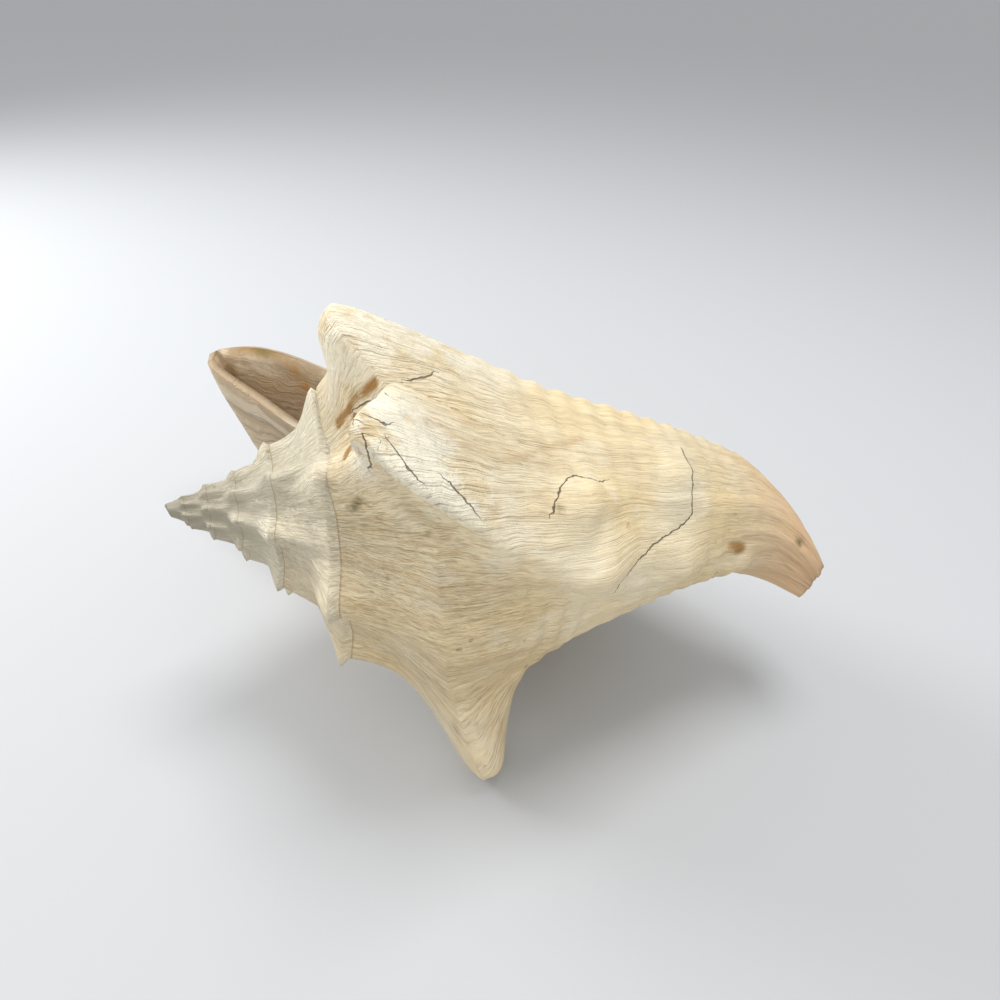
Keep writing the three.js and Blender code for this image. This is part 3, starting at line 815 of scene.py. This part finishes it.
def grow_shell(settings):
    """The whole shell as one closed mesh: spire, last whorl, inner wall, lip edge and mouth."""
    rows, turns, outer, plain, flare = grow_sheets()
    inner = laid_down(inner_face(rows, plain, flare, settings))
    outer = laid_down(outer)
    steps = len(turns) - 1
    body = steps - STEPS_PER_TURN
    mouth = round(MOUTH_DEPTH_TURNS * STEPS_PER_TURN)
    wall = steps - mouth
    suture = RAMP_CUTS + 1
    corner_inner = int(np.argmin(abs(rows - CORNER_ROWS)))
    corner_body = int(np.argmin(abs(rows - SUTURE_ROW - CORNER_ROWS)))
    growth = np.broadcast_to(turns[:, None], outer.shape[:2])
    worn = worn_share(turns, rows)
    across = np.broadcast_to(rows[None], outer.shape[:2])
    late, hidden = slice(body, None), slice(body - mouth, body + 1)
    face, lining = (outer, growth, across, worn), (inner, growth, across, worn)
    sheets = [
        grid_sheet("spire", *(g[: body + 1, : suture + 1] for g in face), 0.0),
        grid_sheet("last_whorl", *(g[late] for g in face), 0.0),
        grid_sheet("whorl_in_mouth", *(g[hidden, corner_body:] for g in face), 1.0),
        grid_sheet("inner_wall", *(g[wall:, corner_inner:] for g in lining), 1.0),
    ]
    deselect_all()
    for sheet in sheets:
        sheet.select_set(True)
    bpy.context.view_layer.objects.active = sheets[0]
    bpy.ops.object.join()
    shell = bpy.context.object
    shell.name = shell.data.name = "shell_skin"
    bpy.ops.object.mode_set(mode="EDIT")
    bpy.ops.mesh.select_all(action="SELECT")
    bpy.ops.mesh.remove_doubles(threshold=MERGE_DISTANCE)
    bpy.ops.object.mode_set(mode="OBJECT")
    in_mouth = outer[wall - STEPS_PER_TURN : body + 1, corner_body]
    bridge(shell, in_mouth, inner[wall:, corner_inner])
    bridge(shell, outer[steps, corner_inner:], inner[steps, corner_inner:])
    bridge(shell, outer[wall - STEPS_PER_TURN, corner_body:], inner[wall, corner_inner:])
    bpy.ops.object.mode_set(mode="EDIT")
    bpy.ops.mesh.select_all(action="SELECT")
    bpy.ops.mesh.fill_holes(sides=0)
    bpy.ops.mesh.select_all(action="SELECT")
    bpy.ops.mesh.quads_convert_to_tris()
    bpy.ops.mesh.normals_make_consistent(inside=False)
    bpy.ops.object.mode_set(mode="OBJECT")
    bpy.ops.object.shade_smooth()
    edges = np.empty(len(shell.data.loops), np.int32)
    shell.data.loops.foreach_get("edge_index", edges)
    if (np.bincount(edges, minlength=len(shell.data.edges)) != 2).any():
        raise RuntimeError("the shell's mesh isn't closed")
    return shell


def add_camera():
    """A camera where the photograph was taken from, carried over to the level shell."""
    elevation = math.radians(VIEW_ELEVATION)
    right = Vector((1, 0, 0))
    up = Vector((0, math.sin(elevation), math.cos(elevation)))
    ahead = Vector((0, math.cos(elevation), -math.sin(elevation)))
    half = FRAME_PIXELS / 2
    focal = LENS_MM / SENSOR_MM * FRAME_PIXELS
    across = (AIM_PIXEL[0] - half) / focal * VIEW_DISTANCE
    above = -(AIM_PIXEL[1] - half) / focal * VIEW_DISTANCE
    away = -across * right - above * up - VIEW_DISTANCE * ahead
    viewed = turned_about(2, VIEWED_YAW) @ turned_about(1, -VIEWED_PITCH)
    level = Matrix((lying_turn() @ viewed.T).tolist())
    aim = Vector(lying_turn() @ (AIM_ALONG_AXIS, 0, 0)) + Vector(SEAT)
    place_at = (level @ away + aim) * MM
    axes = Matrix((level @ right, level @ up, level @ -ahead)).transposed().to_4x4()
    bpy.ops.object.camera_add()
    camera = bpy.context.object
    camera.name = "view_camera"
    camera.matrix_world = Matrix.Translation(place_at) @ axes
    camera.data.sensor_width = SENSOR_MM
    camera.data.lens = LENS_MM
    camera.data.clip_start = CAMERA_NEAR
    bpy.context.scene.camera = camera


def add_stage(settings):
    """A pale floor, three soft lights and an even surrounding light."""
    deselect_all()
    bpy.ops.mesh.primitive_plane_add(size=FLOOR_SIZE, location=(0, 0, 0))
    floor = bpy.context.object
    floor.name = "floor"
    finish = bpy.data.materials.new("pale_floor")
    finish.use_nodes = True
    shader = finish.node_tree.nodes["Principled BSDF"]
    shader.inputs["Base Color"].default_value = settings.floor_colour
    shader.inputs["Roughness"].default_value = FLOOR_ROUGHNESS
    floor.data.materials.append(finish)
    for name, where, width in LIGHTS:
        bpy.ops.object.light_add(type="AREA", location=where)
        light = bpy.context.object
        light.name = name + "_light"
        light.data.size = width
        light.data.energy = getattr(settings, name + "_power")
        light.rotation_euler = (-Vector(where)).to_track_quat("-Z", "Y").to_euler()
    scene = bpy.context.scene
    scene.world = scene.world or bpy.data.worlds.new("studio")
    scene.world.use_nodes = True
    background = scene.world.node_tree.nodes["Background"]
    background.inputs["Color"].default_value = SURROUNDING_TINT
    background.inputs["Strength"].default_value = settings.surrounding_light
    scene.view_settings.view_transform = "Standard"


def shell_tree(shell):
    """The shell's faces, ready for lines of sight from the camera to meet them."""
    places = [vertex.co.copy() for vertex in shell.data.vertices]
    return BVHTree.FromPolygons(places, [tuple(face.vertices) for face in shell.data.polygons])


def seen_at(tree, pixel):
    """The point of the shell that the camera sees at a pixel of the photograph."""
    camera = bpy.context.scene.camera
    half = FRAME_PIXELS / 2
    focal = LENS_MM / SENSOR_MM * FRAME_PIXELS
    ray = Vector(((pixel[0] - half) / focal, (half - pixel[1]) / focal, -1))
    start = camera.matrix_world.translation
    return tree.ray_cast(start, (camera.matrix_world.to_3x3() @ ray).normalized())[0]


def seen_line(tree, pixels):
    """Points of the shell under a broken line of pixels, close enough to follow its face."""
    points = []
    for (x, y), (next_x, next_y) in zip(pixels[:-1], pixels[1:]):
        count = max(1, round(math.hypot(next_x - x, next_y - y) / PIXEL_STEP))
        for n in range(count):
            pixel = (mix(x, next_x, n / count), mix(y, next_y, n / count))
            points.append(seen_at(tree, pixel))
    points.append(seen_at(tree, pixels[-1]))
    return [point for point in points if point is not None]


def side_of_line(places, normals, line):
    """Distance over the face from each place to a broken line, negative on one side of it."""
    nearest = np.full(len(places), np.inf)
    for start, end in zip(line[:-1], line[1:]):
        a, b = np.array(start), np.array(end)
        share = np.clip(((places - a) @ (b - a)) / max((b - a) @ (b - a), LEAST_SQUARE), 0, 1)
        off = places - a - share[:, None] * (b - a)
        gap = np.linalg.norm(off, axis=1)
        side = np.where(np.einsum("ij,ij->i", np.cross(b - a, off), normals) < 0, -gap, gap)
        nearest = np.where(gap < abs(nearest), side, nearest)
    return nearest


def mark_shell(shell, settings):
    """Presses the cracks into the mesh and keeps cracks, stains and a painted shade on its
    vertices.
    """
    mesh, tree = shell.data, shell_tree(shell)
    count = len(mesh.vertices)
    places, normals = np.empty(count * 3), np.empty(count * 3)
    mesh.vertices.foreach_get("co", places)
    mesh.vertices.foreach_get("normal", normals)
    places, normals = places.reshape(-1, 3), normals.reshape(-1, 3)
    pressed = places.copy()
    beside = {}
    for name, cracks in CRACKS.items():
        side = np.full(count, np.inf)
        for pixels in cracks:
            from_crack = side_of_line(places, normals, seen_line(tree, pixels))
            side = np.where(abs(from_crack) < abs(side), from_crack, side)
        beside[name + "_side"] = side
        beside[name + "_reach"] = np.exp(-((side / CRACK_END) ** 2))
        depth = np.exp(-((side / CRACK_REACH) ** 2)) * settings.crack_depth
        pressed -= normals * depth[:, None]
    # The olive layer also carries the painted shade at the foot of the second large knob's cliff
    stains = {name: np.zeros(count) for name in STAIN_AND_SHADE_COLOURS}
    for name, width, strength, pixels in STAINS_AND_SHADE:
        line = seen_line(tree, pixels)
        if len(line) > 1:
            near = np.exp(-((side_of_line(places, normals, line) / (width * MM)) ** 2))
            stains[name] = np.maximum(stains[name], strength * near)
    mesh.vertices.foreach_set("co", pressed.reshape(-1).astype(np.float32))
    for name, values in (stains | beside).items():
        attribute = mesh.attributes.new(name, "FLOAT", "POINT")
        attribute.data.foreach_set("value", values.astype(np.float32))
    mesh.update()


class Wiring:
    """Short ways to place and join the nodes of one material."""

    def __init__(self, tree):
        self.tree = tree

    def feed(self, socket, value):
        if isinstance(value, bpy.types.NodeSocket):
            self.tree.links.new(value, socket)
        else:
            socket.default_value = value

    def node(self, kind, **inputs):
        made = self.tree.nodes.new(kind)
        for name, value in inputs.items():
            self.feed(made.inputs[name.replace("_", " ")], value)
        return made

    def math(self, operation, a, b=0.0, clamp=False):
        made = self.tree.nodes.new("ShaderNodeMath")
        made.operation, made.use_clamp = operation, clamp
        self.feed(made.inputs[0], a)
        self.feed(made.inputs[1], b)
        return made.outputs[0]

    def plus(self, a, b):
        return self.math("ADD", a, b)

    def less(self, a, b):
        return self.math("SUBTRACT", a, b)

    def times(self, a, b, clamp=False):
        return self.math("MULTIPLY", a, b, clamp)

    def ranged(self, value, edges, to=(0.0, 1.0)):
        made = self.node("ShaderNodeMapRange", From_Min=edges[0], From_Max=edges[1])
        made.interpolation_type = "SMOOTHSTEP"
        self.feed(made.inputs["Value"], value)
        self.feed(made.inputs["To Min"], to[0])
        self.feed(made.inputs["To Max"], to[1])
        return made.outputs["Result"]

    def pattern(self, vector, scale, detail, roughness):
        made = self.node("ShaderNodeTexNoise", Vector=vector, Scale=scale, Detail=detail)
        made.inputs["Roughness"].default_value = roughness
        return made.outputs["Fac"]

    def blend(self, factor, first, second):
        made = self.tree.nodes.new("ShaderNodeMix")
        made.data_type = "RGBA"
        self.feed(made.inputs[MIX_FACTOR], factor)
        self.feed(made.inputs[MIX_FIRST], first)
        self.feed(made.inputs[MIX_SECOND], second)
        return made.outputs[MIX_RESULT]

    def value_of(self, name):
        made = self.tree.nodes.new("ShaderNodeAttribute")
        made.attribute_name = name
        return made.outputs["Fac"]


def given_on_shell(w):
    """What the finish follows: the shell's own values, and patterns in place and along growth."""
    place_on = w.tree.nodes.new("ShaderNodeTexCoord").outputs["Object"]
    given = {name: w.value_of(name) for name in ("inside", "wear") + STAIN_AND_SHADE_COLOURS}
    given["turn"], given["row"] = w.value_of("growth"), w.value_of("across")
    for name, pattern in PLACE_PATTERNS.items():
        given[name] = w.pattern(place_on, *pattern)
    specks = w.node("ShaderNodeTexVoronoi", Vector=place_on, Scale=SPECK_SCALE)
    given["specks"] = specks.outputs["Distance"]
    drift = w.times(given["drift"], LINE_DRIFT)
    drift = w.plus(drift, w.times(given["fine_drift"], FINE_LINE_DRIFT))
    across, along_line = w.plus(given["turn"], drift), w.times(given["row"], LINE_STRETCH)
    along_growth = w.node("ShaderNodeCombineXYZ", X=across, Y=along_line).outputs["Vector"]
    for name, pattern in GROWTH_PATTERNS.items():
        given[name] = w.pattern(along_growth, *pattern)
    return given


def crack_lines(w, given, settings):
    """Where the dark lines of the cracks are, shaken a little from the lines that they follow."""
    shake = w.times(w.less(given["shake"], PATTERN_MEAN), CRACK_SHAKE)
    edges = (settings.crack_width, settings.crack_width * CRACK_CORE)
    marks = []
    for name in CRACKS:
        side = w.math("ABSOLUTE", w.plus(w.value_of(name + "_side"), shake))
        ends = w.ranged(w.value_of(name + "_reach"), CRACK_ENDS)
        marks.append(w.times(w.ranged(side, edges), ends))
    cracks = marks[0]
    for mark in marks[1:]:
        cracks = w.math("MAXIMUM", cracks, mark)
    return cracks


def add_masks(w, given, settings):
    """Adds what both the colour and the bump follow: the lip's lobe and flakes, specks, cracks."""
    given["lobe"] = w.times(w.ranged(given["turn"], LOBE_TURNS), w.ranged(given["row"], LOBE_ROWS))
    given["flakes"] = w.ranged(given["lamellae"], LAMELLA_EDGES)
    speckled = w.ranged(given["blotches"], SPECKLED_BLOTCHES)
    given["few_specks"] = w.times(w.ranged(given["specks"], SPECK_EDGES), speckled)
    given["cracks"] = crack_lines(w, given, settings)


def layered(w, given, colour, layers, settings):
    """A colour with layers of other colours over it, one after the other."""
    for name, begin, full, strength, paint in layers:
        share = w.times(w.ranged(given[name], (begin, full)), strength)
        colour = w.blend(share, colour, getattr(settings, paint))
    return colour


def outer_colour(w, given, settings):
    """Cream with yellow blotches, tan growth lines, chalky wear, a peach canal and a tan lip."""
    yellow = w.ranged(given["blotches"], YELLOW_BLOTCHES)
    colour = w.blend(yellow, settings.cream, settings.yellow_cream)
    below_shoulder = w.ranged(given["row"], BELOW_SHOULDER, LINES_ON_WHORL)
    lined = w.times(w.ranged(given["turn"], LARGE_WHORLS), below_shoulder)
    for name, begin, full, strength in LINE_LAYERS:
        share = w.times(w.ranged(given[name], (begin, full)), w.times(lined, strength))
        colour = w.blend(share, colour, settings.tan)
    colour = layered(w, given, colour, OUTER_LAYERS, settings)
    worn = w.times(given["wear"], w.ranged(given["clouds"], WORN_CLOUDS), clamp=True)
    colour = w.blend(worn, colour, settings.chalk)
    lip = w.blend(w.times(given["flakes"], LAMELLA_CHALK), settings.lip_tan, settings.chalk)
    return w.blend(given["lobe"], colour, lip)


def mouth_colour(w, given, settings):
    """Pink deep in the mouth and tan where it comes out, with growth lines and chalky clouds."""
    to_lip = w.ranged(given["turn"], MOUTH_TO_LIP)
    colour = w.blend(to_lip, settings.pink, settings.lip_tan)
    outer = w.ranged(given["turn"], OUTER_MOUTH_START)
    outer = w.times(outer, w.ranged(given["turn"], OUTER_MOUTH_STOP))
    colour = w.blend(w.times(outer, OUTER_MOUTH_TAN), colour, settings.lip_tan)
    return layered(w, given, colour, MOUTH_LAYERS, settings)


def marked_colour(w, given, colour, settings):
    """A colour with its stains, the painted shade at the foot of a knob's cliff, specks, cracks
    and the dark seam along each suture.
    """
    ragged = w.plus(w.times(given["clouds"], STAIN_AND_SHADE_RAGGEDNESS), STAIN_AND_SHADE_LOSS)
    # Stains in rust, olive and dark; the olive layer also paints shade at the foot of the second
    # large knob's cliff
    for name in STAIN_AND_SHADE_COLOURS:
        stain = w.ranged(w.times(given[name], ragged), STAIN_AND_SHADE_EDGES)
        colour = w.blend(stain, colour, getattr(settings, name))
    colour = w.blend(w.times(given["few_specks"], SPECK_STRENGTH), colour, settings.rust)
    colour = w.blend(w.times(given["cracks"], CRACK_STRENGTH), colour, settings.dark)
    seam = w.times(w.ranged(given["row"], SEAM_ROWS), SEAM_STRENGTH)
    return w.blend(seam, colour, settings.rust)


def bump_height(w, given):
    """Height of what is finer than the mesh: growth lines, flakes, grain, wear and cracks."""
    height = w.times(given["flakes"], given["lobe"])
    for name, share in LINE_HEIGHTS.items():
        height = w.plus(height, w.times(given[name], share))
    height = w.times(height, w.ranged(given["row"], BELOW_SHOULDER, HEIGHT_ON_WHORL))
    height = w.times(height, w.less(1.0, w.times(given["inside"], MOUTH_FLATNESS)))
    for name, share in PLACE_HEIGHTS.items():
        height = w.plus(height, w.times(given[name], share))
    height = w.plus(height, w.times(given["wear"], given["flaking"]))
    height = w.less(height, w.times(given["cracks"], CRACK_HEIGHT))
    return w.less(height, w.times(given["few_specks"], SPECK_HEIGHT))


def shell_finish(settings):
    """Chalky cream outside with growth lines, wear, stains, a painted shade and cracks; pink to
    tan mouth.
    """
    finish = bpy.data.materials.new("shell_finish")
    finish.use_nodes = True
    w = Wiring(finish.node_tree)
    given = given_on_shell(w)
    add_masks(w, given, settings)
    outer, mouth = outer_colour(w, given, settings), mouth_colour(w, given, settings)
    colour = marked_colour(w, given, w.blend(given["inside"], outer, mouth), settings)
    chalky = w.ranged(given["clouds"], ROUGHER_CLOUDS, ROUGHNESS)
    roughness = w.less(chalky, w.times(given["inside"], MOUTH_SMOOTHNESS))
    height = bump_height(w, given)
    bump = w.node("ShaderNodeBump", Height=height, Strength=1.0, Distance=BUMP_DEPTH)
    shader = finish.node_tree.nodes["Principled BSDF"]
    w.feed(shader.inputs["Base Color"], colour)
    w.feed(shader.inputs["Roughness"], roughness)
    w.feed(shader.inputs["Normal"], bump.outputs["Normal"])
    shader.inputs["Specular IOR Level"].default_value = SHINE
    return finish


class CONCH_OT_add_camera(bpy.types.Operator):
    """Adds the camera that looks at the shell from the front and above"""

    bl_idname = "conch.add_camera"
    bl_label = "Add Camera"

    def execute(self, context):
        add_camera()
        return {"FINISHED"}


class CONCH_OT_add_shell(bpy.types.Operator):
    """Grows the shell, presses its cracks in and gives it its finish"""

    bl_idname = "conch.add_shell"
    bl_label = "Grow Shell"

    def execute(self, context):
        if context.scene.camera is None:
            raise RuntimeError("add the camera first: the marks are placed through it")
        settings = context.scene.conch_shell
        shell = grow_shell(settings)
        mark_shell(shell, settings)
        shell.data.materials.clear()
        shell.data.materials.append(shell_finish(settings))
        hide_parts("conch_shell")
        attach(shell, "root")
        return {"FINISHED"}


class CONCH_OT_add_stage(bpy.types.Operator):
    """Adds the floor and the lights"""

    bl_idname = "conch.add_stage"
    bl_label = "Add Stage"

    def execute(self, context):
        add_stage(context.scene.conch_stage)
        return {"FINISHED"}


class CONCH_PT_studio(bpy.types.Panel):
    """Settings and steps of the shell, in the sidebar of the 3D view"""

    bl_label = "Conch Shell Studio"
    bl_idname = "CONCH_PT_studio"
    bl_space_type = "VIEW_3D"
    bl_region_type = "UI"
    bl_category = "Conch"

    def draw(self, context):
        for settings in (context.scene.conch_shell, context.scene.conch_stage):
            column = self.layout.column()
            for name in type(settings).__annotations__:
                column.prop(settings, name)
        self.layout.operator("conch.add_camera")
        self.layout.operator("conch.add_shell")
        self.layout.operator("conch.add_stage")


CLASSES = (
    ConchShellSettings,
    ConchStageSettings,
    CONCH_OT_add_camera,
    CONCH_OT_add_shell,
    CONCH_OT_add_stage,
    CONCH_PT_studio,
)


def register():
    for kind in CLASSES:
        bpy.utils.register_class(kind)
    bpy.types.Scene.conch_shell = bpy.props.PointerProperty(type=ConchShellSettings)
    bpy.types.Scene.conch_stage = bpy.props.PointerProperty(type=ConchStageSettings)


def unregister():
    del bpy.types.Scene.conch_stage
    del bpy.types.Scene.conch_shell
    for kind in reversed(CLASSES):
        bpy.utils.unregister_class(kind)


def main():
    register()
    bpy.ops.conch.add_camera()
    bpy.ops.conch.add_shell()
    bpy.ops.conch.add_stage()


if __name__ == "__main__":
    main()
